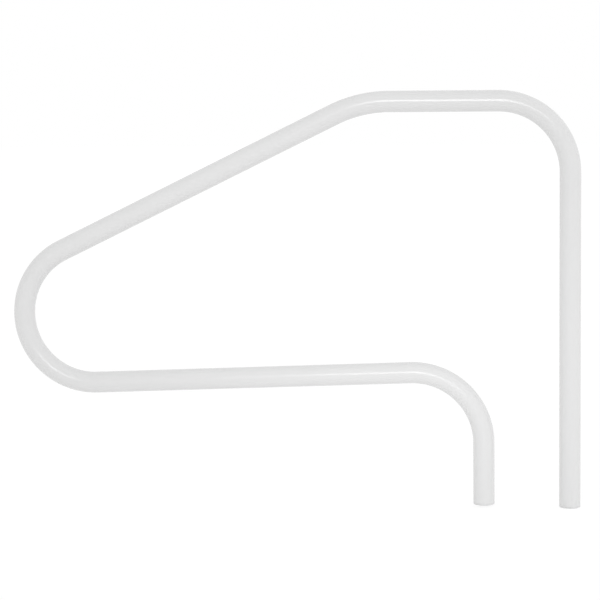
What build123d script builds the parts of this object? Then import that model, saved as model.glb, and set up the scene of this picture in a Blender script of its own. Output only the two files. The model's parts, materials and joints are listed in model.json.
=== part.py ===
from build123d import *

import os

# Pool stair handrail of the return-to-deck kind: one length of round tube, bent in a single
# upright plane, with both legs pointing down into anchor sockets in the pool deck. A structural
# steel core runs the whole way inside a bonded polymer jacket. A moulded plug with a rubber ring
# closes each end, so that pool water can't reach the steel.
#
# Frame: millimetres, +Z up. The rail lies in the XZ plane and is symmetric about it. The origin is
# the centre of the long leg's foot, and the nose of the rail reaches out over the steps along -X.

# Tube
RAIL_OD = 48.26  # 1.90 in over the jacket, the size that deck anchors take
JACKET_WALL = 2.95
BOND_LINE = 0.10  # adhesive film between the steel and the jacket
CORE_WALL = 2.11  # of the steel tube, which comes out at 1.66 in outside

# Route of the centreline, from the long foot over the top and round to the short foot
LONG_LEG = 762.0  # straight stretch from the foot to the first bend
TOP_RUN = 246.0  # level grip above the deck
SLOPE_RUN = 700.0  # grip that falls with the steps
RETURN_RUN = 724.0  # lower run, back to the deck
SLOPE_ANGLE = 26.0  # fall of the grip towards the water
RETURN_ANGLE = 2.0  # rise of the lower run towards the deck
BEND_RADIUS = 161.0  # corner, nose and return bends
CREST_RADIUS = 285.0  # gentle bend where the grip starts to fall
SHORT_FOOT_RISE = 5.0  # the short leg stops this much higher than the long one

# End plug, the part that shows
PLUG_FLANGE = 4.0
PLUG_EDGE_ROUND = 2.5
SEAM_CHAMFER = 0.4  # breaks both edges where plug and jacket meet
FOOT_PAD_R = 5.0  # flat pad in the middle of the foot
FOOT_RIM_WIDTH = 5.5  # flat rim that the foot stands on
FOOT_RECESS = 0.8

# End plug, the spigot inside the tube
SPIGOT_LENGTH = 30.0
SPIGOT_CLEARANCE = 0.8  # between its body and the core's bore
SPIGOT_WALL = 4.0
SPIGOT_TIP_CHAMFER = 1.2
WEB_THICKNESS = 2.4  # crossed webs that stiffen the hollow spigot
WEB_ROOT = 1.0  # how far they run into its wall
WEB_SETBACK = 3.0  # below the spigot's tip
SHOULDER_HEIGHT = 4.0
PRESS_CLEARANCE = 0.05  # shoulder and ribs in the bore
GROOVE_SETBACK = 2.5  # above the shoulder
GROOVE_WIDTH = 3.4
GROOVE_DEPTH = 1.4
RIB_SETBACK = 2.6  # first rib above the groove
RIB_PITCH = 5.0
RIB_HEIGHT = 2.0
RIB_COUNT = 3

# Seal ring, squeezed between the spigot's groove and the bore
RING_WIDTH = 3.0
RING_ROUND = 0.9
RING_CLEARANCE = 0.03

RAIL_R = RAIL_OD / 2
JACKET_BORE_R = RAIL_R - JACKET_WALL
CORE_R = JACKET_BORE_R - BOND_LINE
BORE_R = CORE_R - CORE_WALL
SPIGOT_R = BORE_R - SPIGOT_CLEARANCE
SPIGOT_BORE_R = SPIGOT_R - SPIGOT_WALL
PRESS_R = BORE_R - PRESS_CLEARANCE
GROOVE_R = SPIGOT_R - GROOVE_DEPTH
SHOULDER_TOP = PLUG_FLANGE + SHOULDER_HEIGHT
GROOVE_LOW = SHOULDER_TOP + GROOVE_SETBACK
GROOVE_HIGH = GROOVE_LOW + GROOVE_WIDTH


def run(before, length):
    """Straight stretch that carries on from the one before."""
    return Line(before @ 1, before @ 1 + before % 1 * length)


def bend(before, radius, turn):
    """Tangent arc, anticlockwise where the turn is positive."""
    return JernArc(before @ 1, before % 1, radius, turn)


def rail_route():
    """Centreline of the tube in the XZ plane, cut square above the flange of each plug."""
    long_leg = Line((0, PLUG_FLANGE), (0, LONG_LEG))
    corner = bend(long_leg, BEND_RADIUS, 90)
    top_run = run(corner, TOP_RUN)
    crest = bend(top_run, CREST_RADIUS, SLOPE_ANGLE)
    slope_run = run(crest, SLOPE_RUN)
    nose = bend(slope_run, BEND_RADIUS, 180 - SLOPE_ANGLE + RETURN_ANGLE)
    return_run = run(nose, RETURN_RUN)
    return_bend = bend(return_run, BEND_RADIUS, -90 - RETURN_ANGLE)
    knee = return_bend @ 1
    short_leg = Line(knee, (knee.X, SHORT_FOOT_RISE + PLUG_FLANGE))
    stretches = [
        long_leg,
        corner,
        top_run,
        crest,
        slope_run,
        nose,
        return_run,
        return_bend,
        short_leg,
    ]
    return [Plane.XZ * stretch for stretch in stretches]


def bent_tube(route, outer_r, inner_r):
    """Round tube swept along each straight and bend of the route in turn."""
    spans = []
    for stretch in route:
        across = Plane(origin=stretch @ 0, x_dir=(0, 1, 0), z_dir=stretch % 0)
        ring = Circle(outer_r) - Circle(inner_r)
        spans.append(sweep(across * ring, path=stretch))
    return Part() + spans


def core_tube(route):
    return bent_tube(route, CORE_R, BORE_R)


def polymer_jacket(route):
    """Jacket whose outer edge is broken at both ends, which leaves a fine seam above each plug."""
    jacket = bent_tube(route, RAIL_R, JACKET_BORE_R)
    ends = jacket.faces().filter_by(GeomType.PLANE)
    rims = [end.edges().sort_by(SortBy.RADIUS)[-1] for end in ends]
    return chamfer(rims, SEAM_CHAMFER)


def plug_profile():
    """Half section of an end plug, as radius and height above the foot."""
    rim_in = RAIL_R - PLUG_EDGE_ROUND - FOOT_RIM_WIDTH
    rim_out = RAIL_R - PLUG_EDGE_ROUND
    tip = PLUG_FLANGE + SPIGOT_LENGTH

    foot = Polyline(
        (0, PLUG_FLANGE),
        (0, 0),
        (FOOT_PAD_R, 0),
        (FOOT_PAD_R, FOOT_RECESS),
        (rim_in, FOOT_RECESS),
        (rim_in, 0),
        (rim_out, 0),
    )
    edge = JernArc((rim_out, 0), (1, 0), PLUG_EDGE_ROUND, 90)

    # each rib is a barb: it slides in along its slope and holds at its flat side
    barbs = []
    for number in range(RIB_COUNT):
        low = GROOVE_HIGH + RIB_SETBACK + number * RIB_PITCH
        barbs += [(SPIGOT_R, low), (PRESS_R, low), (SPIGOT_R, low + RIB_HEIGHT)]

    spigot = Polyline(
        (RAIL_R, PLUG_EDGE_ROUND),
        (RAIL_R, PLUG_FLANGE - SEAM_CHAMFER),
        (RAIL_R - SEAM_CHAMFER, PLUG_FLANGE),
        (PRESS_R, PLUG_FLANGE),
        (PRESS_R, SHOULDER_TOP),
        (SPIGOT_R, SHOULDER_TOP),
        (SPIGOT_R, GROOVE_LOW),
        (GROOVE_R, GROOVE_LOW),
        (GROOVE_R, GROOVE_HIGH),
        (SPIGOT_R, GROOVE_HIGH),
        *barbs,
        (SPIGOT_R, tip - SPIGOT_TIP_CHAMFER),
        (SPIGOT_R - SPIGOT_TIP_CHAMFER, tip),
        (SPIGOT_BORE_R, tip),
        (SPIGOT_BORE_R, PLUG_FLANGE),
        (0, PLUG_FLANGE),
    )
    return make_face([foot, edge, spigot])


def end_plug():
    """Moulded plug: a rounded flange under the tube and a hollow, webbed spigot inside it."""
    shell = revolve(Plane.XZ * plug_profile(), axis=Axis.Z)
    web = Rectangle(2 * (SPIGOT_BORE_R + WEB_ROOT), WEB_THICKNESS)
    cross = web + Rot(0, 0, 90) * web
    return shell + Pos(0, 0, PLUG_FLANGE) * extrude(cross, SPIGOT_LENGTH - WEB_SETBACK)


def seal_ring():
    """Rubber ring in its groove, as it sits when the plug is home."""
    inner_r = GROOVE_R + RING_CLEARANCE
    outer_r = BORE_R - RING_CLEARANCE
    middle = ((inner_r + outer_r) / 2, (GROOVE_LOW + GROOVE_HIGH) / 2)
    profile = Pos(*middle) * RectangleRounded(outer_r - inner_r, RING_WIDTH, RING_ROUND)
    return revolve(Plane.XZ * profile, axis=Axis.Z)


route = rail_route()
short_foot = route[-1] @ 1 - (0, 0, PLUG_FLANGE)
nodes = {
    "core_tube": core_tube(route),
    "polymer_jacket": polymer_jacket(route),
    "long_leg_end_plug": end_plug(),
    "long_leg_seal_ring": seal_ring(),
    "short_leg_end_plug": Pos(*short_foot) * end_plug(),
    "short_leg_seal_ring": Pos(*short_foot) * seal_ring(),
}

os.makedirs("parts", exist_ok=True)
for name, shape in nodes.items():
    export_step(shape, f"parts/{name}.step")

rail_length = sum(stretch.length for stretch in route) + 2 * PLUG_FLANGE
print(f"short foot {short_foot.X:.2f}, {short_foot.Z:.2f}; rail length {rail_length:.1f} mm")
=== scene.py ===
import json
from math import ceil, radians

import bmesh
import bpy
from mathutils import Matrix, Vector


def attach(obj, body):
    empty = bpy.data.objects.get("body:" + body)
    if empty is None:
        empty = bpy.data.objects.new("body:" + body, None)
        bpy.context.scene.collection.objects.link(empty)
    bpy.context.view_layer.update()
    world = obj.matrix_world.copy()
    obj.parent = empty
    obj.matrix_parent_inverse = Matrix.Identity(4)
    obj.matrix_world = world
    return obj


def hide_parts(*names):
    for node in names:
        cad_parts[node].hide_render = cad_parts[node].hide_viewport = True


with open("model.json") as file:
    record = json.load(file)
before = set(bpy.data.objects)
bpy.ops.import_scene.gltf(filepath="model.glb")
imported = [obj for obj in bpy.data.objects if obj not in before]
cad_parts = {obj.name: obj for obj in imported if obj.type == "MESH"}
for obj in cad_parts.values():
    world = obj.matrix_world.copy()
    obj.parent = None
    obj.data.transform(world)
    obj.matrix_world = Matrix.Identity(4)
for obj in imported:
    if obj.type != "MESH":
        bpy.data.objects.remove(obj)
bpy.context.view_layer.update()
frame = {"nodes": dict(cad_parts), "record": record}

# White pool stair handrail: one bent tube in a glossy polymer jacket, with a moulded plug
# and a rubber ring in each end. Metres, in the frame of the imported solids: the origin is the
# long leg's foot, +Z is up, and the nose of the rail reaches out along -X.

cadNodes = frame["nodes"]
mounts = {mount["name"]: mount for mount in frame["record"]["mounts"]}
mm = 0.001
print("frame loaded:", ", ".join(sorted(cadNodes)))


def linearColour(hexCode):
    channels = []
    for start in (0, 2, 4):
        value = int(hexCode.lstrip("#")[start:start + 2], 16) / 255
        channels.append(value / 12.92 if value <= 0.04045 else ((value + 0.055) / 1.055) ** 2.4)
    return (*channels, 1.0)


def addNode(tree, kind, settings=None, links=None):
    # settings go to the node itself or to its sockets, links join its sockets to other nodes
    node = tree.nodes.new(kind)
    for key, value in (settings or {}).items():
        if isinstance(key, str) and hasattr(node, key):
            setattr(node, key, value)
        else:
            node.inputs[key].default_value = value
    for socket, source in (links or {}).items():
        tree.links.new(source, node.inputs[socket])
    return node


def newMaterial(name):
    material = bpy.data.materials.new(name)
    material.use_nodes = True
    material.node_tree.nodes.clear()
    return material, material.node_tree


def finishMaterial(tree, shader):
    addNode(tree, "ShaderNodeOutputMaterial", links={"Surface": shader.outputs[0]})


cameraSetup = {
    "aim": (-0.6121, 0.0, 0.4732),
    "distance": 5.5,
    "yaw": 6.05,  # degrees, the camera stands to the right of the aim point
    "pitch": -6.77,  # looks down a little
    "roll": 0.64,
    "lens": 144.77,  # mm
    "sensor": 36,  # mm across
}


def makeCamera(setup):
    data = bpy.data.cameras.new("camera")
    data.lens = setup["lens"]
    data.sensor_width = setup["sensor"]
    camera = bpy.data.objects.new("camera", data)
    bpy.context.scene.collection.objects.link(camera)
    turn = (
        Matrix.Rotation(radians(setup["yaw"]), 4, "Z")
        @ Matrix.Rotation(radians(setup["pitch"]), 4, "X")
        @ Matrix.Rotation(radians(setup["roll"]), 4, "Y")
    )
    forward = turn @ Vector((0, 1, 0))
    place = Vector(setup["aim"]) - forward * setup["distance"]
    upright = Matrix.Rotation(radians(90), 4, "X")  # a camera looks along its own -Z
    camera.matrix_world = Matrix.Translation(place) @ turn @ upright
    bpy.context.scene.camera = camera


makeCamera(cameraSetup)
print("camera placed")


room = {
    "level": 0.742,  # radiance of the white room round the object
    "windowLevel": 1.054,  # the same toward +X, where the room is brightest
    # a broad, dim panel on the wall behind the camera, which carries the line round the bends:
    # the middle and the half width of its directions along X and Z
    "panel": {"X": (0.096, 0.2), "Z": (0.23, 0.1)},
    "panelLevel": 1.77,  # how much brighter than the room it is
    "floorSize": 30.0,
    "floorColour": "#fbfbfb",
    "floorGlow": 0.91,  # plain white in what the camera sees of the floor
    "floorShadow": "#616161",  # the rest of it, which holds the object's shadow
}

# round softboxes, in metres from the long leg's foot: the grid angle is in degrees, and a lamp
# that is out of the gloss lights the object but isn't mirrored in it
lamps = {
    # a gridded softbox over the camera draws the crisp line along the runs
    "keySoftbox": {
        "place": (-0.52, -5.4, 1.86), "aim": (-0.4, 0.0, 1.1), "size": 1.6,
        "gridAngle": 30, "watts": 0.99, "inGloss": True,
    },
    # light off two low white cards, too even to show as a line in the gloss
    "lowCard": {
        "place": (0.0, -3.0, 0.35), "aim": (-0.3, 0.0, 0.2), "size": 0.9,
        "gridAngle": 24, "watts": 0.316, "inGloss": False,
    },
    "noseCard": {
        "place": (-2.2, -3.4, 0.8), "aim": (-1.0, 0.0, 0.55), "size": 0.9,
        "gridAngle": 30, "watts": 0.222, "inGloss": False,
    },
}


def shownToCamera(tree):
    # 1 for rays from the camera and for what gloss and clear things show of the surroundings
    path = addNode(tree, "ShaderNodeLightPath")
    seen = path.outputs["Is Camera Ray"]
    for kind in ("Is Glossy Ray", "Is Transmission Ray"):
        both = addNode(tree, "ShaderNodeMath", {"operation": "MAXIMUM"},
                       {0: seen, 1: path.outputs[kind]})
        seen = both.outputs[0]
    return seen


def makeWorld(setup):
    world = bpy.data.worlds.new("whiteRoom")
    bpy.context.scene.world = world
    world.use_nodes = True
    tree = world.node_tree
    tree.nodes.clear()
    direction = addNode(tree, "ShaderNodeTexCoord")
    parts = addNode(tree, "ShaderNodeSeparateXYZ", links={0: direction.outputs["Generated"]})
    level = addNode(tree, "ShaderNodeMapRange",
                    {"To Min": setup["level"], "To Max": setup["windowLevel"]},
                    {"Value": parts.outputs["X"]})
    walls = addNode(tree, "ShaderNodeBackground", {"Color": (1, 1, 1, 1)},
                    {"Strength": level.outputs[0]})
    white = addNode(tree, "ShaderNodeBackground", {"Color": (1, 1, 1, 1), "Strength": 1.0})
    surroundings = addNode(tree, "ShaderNodeMixShader",
                           links={0: shownToCamera(tree), 1: walls.outputs[0], 2: white.outputs[0]})

    # the panel is on the -Y side only, and the camera never sees it
    path = addNode(tree, "ShaderNodeLightPath")
    inFront = addNode(tree, "ShaderNodeMath", {"operation": "LESS_THAN", 1: 0.0},
                      {0: parts.outputs["Y"]})
    unseen = addNode(tree, "ShaderNodeMath", {"operation": "MULTIPLY_ADD", 1: -setup["panelLevel"],
                                              2: setup["panelLevel"]},
                     {0: path.outputs["Is Camera Ray"]})
    lit = addNode(tree, "ShaderNodeMath", {"operation": "MULTIPLY"},
                  {0: unseen.outputs[0], 1: inFront.outputs[0]})
    for axis, (middle, reach) in setup["panel"].items():
        within = addNode(tree, "ShaderNodeMath", {"operation": "COMPARE", 1: middle, 2: reach},
                         {0: parts.outputs[axis]})
        lit = addNode(tree, "ShaderNodeMath", {"operation": "MULTIPLY"},
                      {0: lit.outputs[0], 1: within.outputs[0]})
    panel = addNode(tree, "ShaderNodeBackground", {"Color": (1, 1, 1, 1)}, {"Strength": lit.outputs[0]})
    both = addNode(tree, "ShaderNodeAddShader",
                   links={0: surroundings.outputs[0], 1: panel.outputs[0]})
    addNode(tree, "ShaderNodeOutputWorld", links={"Surface": both.outputs[0]})


def makeLamp(name, setup):
    light = bpy.data.lights.new(name, "AREA")
    light.shape = "DISK"
    light.size = setup["size"]
    light.spread = radians(setup["gridAngle"])
    light.energy = setup["watts"]
    lamp = bpy.data.objects.new(name, light)
    bpy.context.scene.collection.objects.link(lamp)
    lamp.location = setup["place"]
    lamp.rotation_mode = "QUATERNION"
    facing = Vector(setup["aim"]) - Vector(setup["place"])
    lamp.rotation_quaternion = facing.to_track_quat("-Z", "Y")
    lamp.visible_camera = False
    lamp.visible_glossy = setup["inGloss"]


def makeFloor(setup):
    # a painted board, matt white and lit so that it all but disappears
    material, tree = newMaterial("mattWhiteStudioPaint")
    paint = addNode(tree, "ShaderNodeBsdfDiffuse", {"Color": linearColour(setup["floorColour"])})
    glow = addNode(tree, "ShaderNodeEmission",
                   {"Color": (1, 1, 1, 1), "Strength": setup["floorGlow"]})
    shadow = addNode(tree, "ShaderNodeBsdfDiffuse", {"Color": linearColour(setup["floorShadow"])})
    shown = addNode(tree, "ShaderNodeAddShader", links={0: glow.outputs[0], 1: shadow.outputs[0]})
    top = addNode(tree, "ShaderNodeMixShader",
                  links={0: shownToCamera(tree), 1: paint.outputs[0], 2: shown.outputs[0]})
    side = addNode(tree, "ShaderNodeNewGeometry")
    clear = addNode(tree, "ShaderNodeBsdfTransparent")
    board = addNode(tree, "ShaderNodeMixShader",
                    links={0: side.outputs["Backfacing"], 1: top.outputs[0], 2: clear.outputs[0]})
    finishMaterial(tree, board)
    material.cycles.emission_sampling = "NONE"  # the glow is only for looks, it lights nothing

    bm = bmesh.new()
    bmesh.ops.create_grid(bm, x_segments=1, y_segments=1, size=setup["floorSize"] / 2)
    mesh = bpy.data.meshes.new("studioFloor")
    bm.to_mesh(mesh)
    bm.free()
    mesh.materials.append(material)
    floor = bpy.data.objects.new("studioFloor", mesh)
    bpy.context.scene.collection.objects.link(floor)


makeWorld(room)
makeFloor(room)
for lampName, lampSetup in lamps.items():
    makeLamp(lampName, lampSetup)
print("studio lit")


jacketFinish = {
    "colour": "#e7e7e7",
    "cloudColour": "#e5e5e5",  # faint cloudiness of the pigment
    "cloudSize": 60 * mm,
    "ior": 1.53,
    "roughness": 0.14,
    "handling": 0.04,  # how much duller where it has been wiped and handled
    "handlingSize": 90 * mm,
    "handlingEdge": (0.35, 0.65),  # of the pattern, from clean to handled
    "waveSize": 45 * mm,  # the skin follows the steel under it
    "waveDepth": 0.05 * mm,
    "peelSize": 3.5 * mm,
    "peelDepth": 0.005 * mm,
    "dieLineSize": 1.3 * mm,  # real ones are about 0.3 mm apart, too fine to show
    "dieLineLength": 160 * mm,
    "dieLineDepth": 0.0015 * mm,
}


def jacketPolymer(finish):
    # extruded rigid vinyl, bent warm: an even, neutral white with a wet-looking gloss, a little
    # orange peel and faint lines along the tube from the die
    material, tree = newMaterial("extrudedWhiteVinyl")
    skin = addNode(tree, "ShaderNodeAttribute", {"attribute_name": "unbent"})
    place = {"Vector": skin.outputs["Vector"]}
    cloud = addNode(tree, "ShaderNodeTexNoise", {"Scale": 1 / finish["cloudSize"], "Detail": 2.0},
                    place)
    colour = addNode(tree, "ShaderNodeMix",
                     {"data_type": "RGBA", "A": linearColour(finish["colour"]),
                      "B": linearColour(finish["cloudColour"])}, {"Factor": cloud.outputs[0]})
    wiped = addNode(tree, "ShaderNodeTexNoise", {"Scale": 1 / finish["handlingSize"], "Detail": 3.0},
                    place)
    clean, handled = finish["handlingEdge"]
    rough = addNode(tree, "ShaderNodeMapRange",
                    {"From Min": clean, "From Max": handled, "To Min": finish["roughness"],
                     "To Max": finish["roughness"] + finish["handling"]},
                    {"Value": wiped.outputs[0]})
    across, along = 1 / finish["dieLineSize"], 1 / finish["dieLineLength"]
    drawn = addNode(tree, "ShaderNodeMapping", {"Scale": (across, across, along)}, place)
    lines = addNode(tree, "ShaderNodeTexNoise", {"Scale": 1.0, "Detail": 2.0},
                    {"Vector": drawn.outputs[0]})
    peel = addNode(tree, "ShaderNodeTexNoise", {"Scale": 1 / finish["peelSize"], "Detail": 2.0}, place)
    wave = addNode(tree, "ShaderNodeTexNoise", {"Scale": 1 / finish["waveSize"], "Detail": 1.0}, place)
    normal = None
    for pattern, depth in ((wave, "waveDepth"), (peel, "peelDepth"), (lines, "dieLineDepth")):
        links = {"Height": pattern.outputs[0]}
        if normal:
            links["Normal"] = normal
        bump = addNode(tree, "ShaderNodeBump", {"Strength": 1.0, "Distance": finish[depth]}, links)
        normal = bump.outputs[0]
    shader = addNode(tree, "ShaderNodeBsdfPrincipled", {"IOR": finish["ior"]},
                     {"Base Color": colour.outputs["Result"], "Roughness": rough.outputs[0],
                      "Normal": normal})
    finishMaterial(tree, shader)
    return material


# injection-moulded vinyl from a spark-eroded tool: the jacket's white, a touch duller
plugFinish = {
    "name": "mouldedWhiteVinyl",
    "colour": "#e3e3e3",
    "ior": 1.53,
    "roughness": 0.32,
    "grainSize": 0.8 * mm,
    "grainDetail": 2.0,
    "grainDepth": 0.006 * mm,
}

# moulded EPDM rubber: black with a dry, dusty bloom
sealFinish = {
    "name": "epdmRubber",
    "colour": "#1d1d1f",
    "ior": 1.5,
    "roughness": 0.68,
    "grainSize": 0.5 * mm,
    "grainDetail": 3.0,
    "grainDepth": 0.01 * mm,
}


def mouldedMaterial(finish):
    # one even colour, with the fine grain that the mould leaves
    material, tree = newMaterial(finish["name"])
    place = addNode(tree, "ShaderNodeTexCoord")
    grain = addNode(tree, "ShaderNodeTexNoise",
                    {"Scale": 1 / finish["grainSize"], "Detail": finish["grainDetail"]},
                    {"Vector": place.outputs["Object"]})
    bump = addNode(tree, "ShaderNodeBump", {"Strength": 1.0, "Distance": finish["grainDepth"]},
                   {"Height": grain.outputs[0]})
    shader = addNode(tree, "ShaderNodeBsdfPrincipled",
                     {"Base Color": linearColour(finish["colour"]), "IOR": finish["ior"],
                      "Roughness": finish["roughness"]},
                     {"Normal": bump.outputs[0]})
    finishMaterial(tree, shader)
    return material


coreFinish = {
    "light": "#c3c5c6",
    "dark": "#8f9396",
    "roughness": 0.42,
    "roughnessSpread": 0.2,  # from crystal to crystal
    "spangleSize": 9 * mm,
}


def galvanisedSteel(finish):
    # hot-dip zinc on rolled tube: flat grey crystals that catch the light one by one
    material, tree = newMaterial("galvanisedSteel")
    place = addNode(tree, "ShaderNodeTexCoord")
    spangle = addNode(tree, "ShaderNodeTexVoronoi", {"Scale": 1 / finish["spangleSize"]},
                      {"Vector": place.outputs["Object"]})
    tone = addNode(tree, "ShaderNodeSeparateColor", links={0: spangle.outputs["Color"]})
    colour = addNode(tree, "ShaderNodeMix",
                     {"data_type": "RGBA", "A": linearColour(finish["dark"]),
                      "B": linearColour(finish["light"])}, {"Factor": tone.outputs[0]})
    rough = addNode(tree, "ShaderNodeMath",
                    {"operation": "MULTIPLY_ADD", 1: finish["roughnessSpread"],
                     2: finish["roughness"]}, {0: tone.outputs[1]})
    shader = addNode(tree, "ShaderNodeBsdfPrincipled", {"Metallic": 1.0},
                     {"Base Color": colour.outputs["Result"], "Roughness": rough.outputs[0]})
    finishMaterial(tree, shader)
    return material


rail = {
    "bore": 21.18 * mm,  # inside radius of the jacket
    "flange": 4.0 * mm,  # of the plug below it
    "seam": 0.4 * mm,  # broken edge at each end
    "weld": 0.04 * mm,  # points nearer than this are one
    "crease": 30,  # degrees, sharper edges aren't smoothed
    "segments": 120,
    "ringAngle": 1.5,  # degrees between rings in a bend
    "ringSpacing": 0.1,  # metres at most between rings in a straight
    # from the long foot up: a straight's length in metres,
    # or a bend's radius in metres and its turn in degrees
    "route": [
        ("straight", 0.762),
        ("bend", 0.161, 90),
        ("straight", 0.246),
        ("bend", 0.285, 26),
        ("straight", 0.700),
        ("bend", 0.161, 156),
        ("straight", 0.724),
        ("bend", 0.161, -92),
    ],
}


def copyRim(bm, edges):
    # joins a copy of a ring to the ring, and returns the copy's points and edges
    made = bmesh.ops.extrude_edge_only(bm, edges=edges)["geom"]
    verts = [item for item in made if isinstance(item, bmesh.types.BMVert)]
    copied = set(verts)
    return verts, [item for item in made if isinstance(item, bmesh.types.BMEdge)
                   and copied.issuperset(item.verts)]


def makeCutEnd(bm, edges, centre, narrowing):
    # the flat end of the jacket, from the outer wall to the bore
    verts, edges = copyRim(bm, edges)
    bmesh.ops.scale(bm, verts=verts, vec=(narrowing, narrowing, 1),
                    space=Matrix.Translation(-centre))
    return verts, edges


def bendTube(bm, setup, start, end, rim, unbent):
    # carries one open ring along the whole rail, as the bender does, and returns the last ring
    at, heading = start.copy(), Vector((0, 0, 1))

    def straight(edges, length):
        count = ceil(length / setup["ringSpacing"])
        for step in range(count):
            verts, edges = copyRim(bm, edges)
            bmesh.ops.translate(bm, verts=verts, vec=heading * (length / count))
            for vert in verts:
                vert[unbent].z += length / count
        return edges

    def bend(edges, centre, radius, turn):
        known = len(bm.verts)
        outward = (at - centre).normalized()
        made = bmesh.ops.spin(bm, geom=edges, cent=centre, axis=(0, -1 if turn > 0 else 1, 0),
                              angle=radians(abs(turn)), steps=ceil(abs(turn) / setup["ringAngle"]),
                              use_merge=False)["geom_last"]
        bm.verts.ensure_lookup_table()
        for vert in bm.verts[known:]:
            arm = vert.co - centre
            arm.y = 0
            vert[unbent].z += radius * outward.angle(arm)
        return [item for item in made if isinstance(item, bmesh.types.BMEdge)]

    for number, (kind, size, *turn) in enumerate(setup["route"]):
        if kind == "straight":
            length = size - (start.z if number == 0 else 0)  # the route starts under the plug
            rim = straight(rim, length)
            at = at + heading * length
        else:
            side = 1 if turn[0] > 0 else -1
            centre = at + side * size * (Matrix.Rotation(radians(-90), 3, "Y") @ heading)
            rim = bend(rim, centre, size, turn[0])
            whole = Matrix.Rotation(radians(-turn[0]), 3, "Y")
            at = centre + whole @ (at - centre)
            heading = whole @ heading
    return straight(rim, (at - end).length)


def makeJacket(setup):
    radius = mounts["long_leg"]["dims"]["r_mm"] * mm
    foot, lastFoot = mounts["long_leg_foot"]["pos_m"], mounts["short_leg_foot"]["pos_m"]
    start = Vector((foot[0], foot[1], foot[2] + setup["flange"]))
    end = Vector((lastFoot[0], lastFoot[1], lastFoot[2] + setup["flange"]))
    bm = bmesh.new()
    unbent = bm.verts.layers.float_vector.new("unbent")  # where each point was on the straight tube
    bmesh.ops.create_circle(bm, cap_ends=False, radius=radius, segments=setup["segments"])
    bmesh.ops.translate(bm, vec=start, verts=bm.verts)
    firstRim = list(bm.edges)
    narrowing = setup["bore"] / radius
    boreRim = makeCutEnd(bm, firstRim, start, narrowing)[1]
    for vert in bm.verts:
        vert[unbent] = vert.co
    lastRim = bendTube(bm, setup, start, end, firstRim, unbent)
    boreRim = bendTube(bm, setup, start, end, boreRim, unbent)
    closing = makeCutEnd(bm, lastRim, end, narrowing)[0]
    closing += dict.fromkeys(vert for edge in boreRim for vert in edge.verts)
    bmesh.ops.remove_doubles(bm, verts=closing, dist=setup["weld"])
    bmesh.ops.bevel(bm, geom=firstRim + lastRim, offset=setup["seam"], offset_type="OFFSET",
                    segments=1, profile=0.5, affect="EDGES", material=-1)
    bmesh.ops.recalc_face_normals(bm, faces=bm.faces)
    for face in bm.faces:
        face.smooth = True
    for edge in bm.edges:
        edge.smooth = edge.calc_face_angle(0) < radians(setup["crease"])
    mesh = bpy.data.meshes.new("railJacket")
    bm.to_mesh(mesh)
    bm.free()
    jacket = bpy.data.objects.new("railJacket", mesh)
    bpy.context.scene.collection.objects.link(jacket)
    return jacket


jacket = makeJacket(rail)
jacket.data.materials.append(jacketPolymer(jacketFinish))
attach(jacket, "root")
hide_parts("polymer_jacket")
print("jacket made:", len(jacket.data.polygons), "faces")


def dress(names, material):
    # gives a solid that stays in view its finish
    for name in names:
        piece = cadNodes[name]
        piece.data.materials.clear()
        piece.data.materials.append(material)


dress(["long_leg_end_plug", "short_leg_end_plug"], mouldedMaterial(plugFinish))
dress(["core_tube"], galvanisedSteel(coreFinish))
dress(["long_leg_seal_ring", "short_leg_seal_ring"], mouldedMaterial(sealFinish))
print("plugs, core and seals dressed")


bpy.context.scene.view_settings.view_transform = "Standard"
